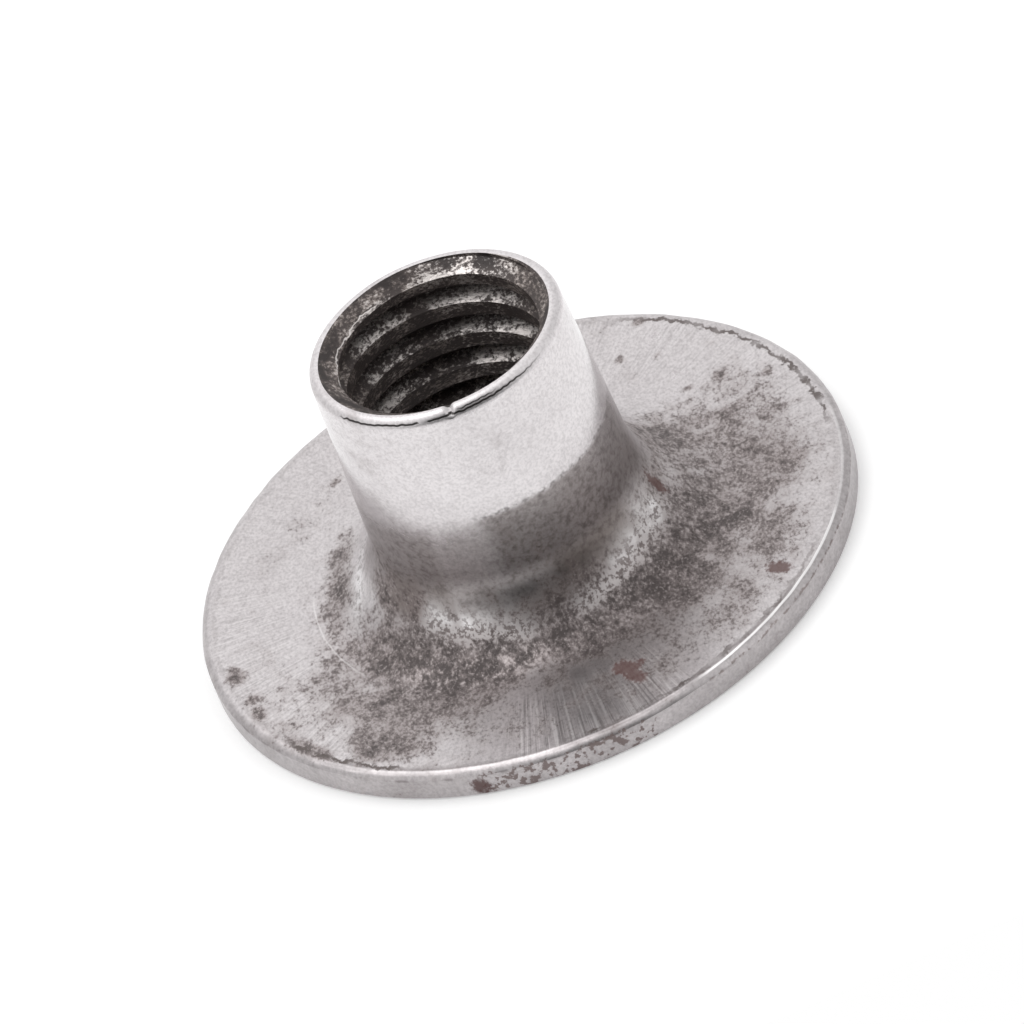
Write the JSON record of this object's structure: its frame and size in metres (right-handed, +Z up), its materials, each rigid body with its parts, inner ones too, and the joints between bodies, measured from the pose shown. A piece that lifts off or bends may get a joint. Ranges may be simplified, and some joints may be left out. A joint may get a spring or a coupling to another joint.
{
  "type": "weld nut",
  "caption": "Round-base weld nut: a flat round flange that flares up into a slightly tapered, internally threaded barrel with a countersunk mouth.",
  "frame": {"origin": "centre of the flange's underside, on the axis of the bore", "axes": "+Z up the bore, from the flange to the barrel's mouth"},
  "size_m": [0.027, 0.027, 0.0123],
  "materials": {
    "steel": "worn bare steel with oxide stains"
  },
  "bodies": {
    "root": {"weld_nut": "steel"}
  },
  "joints": []
}
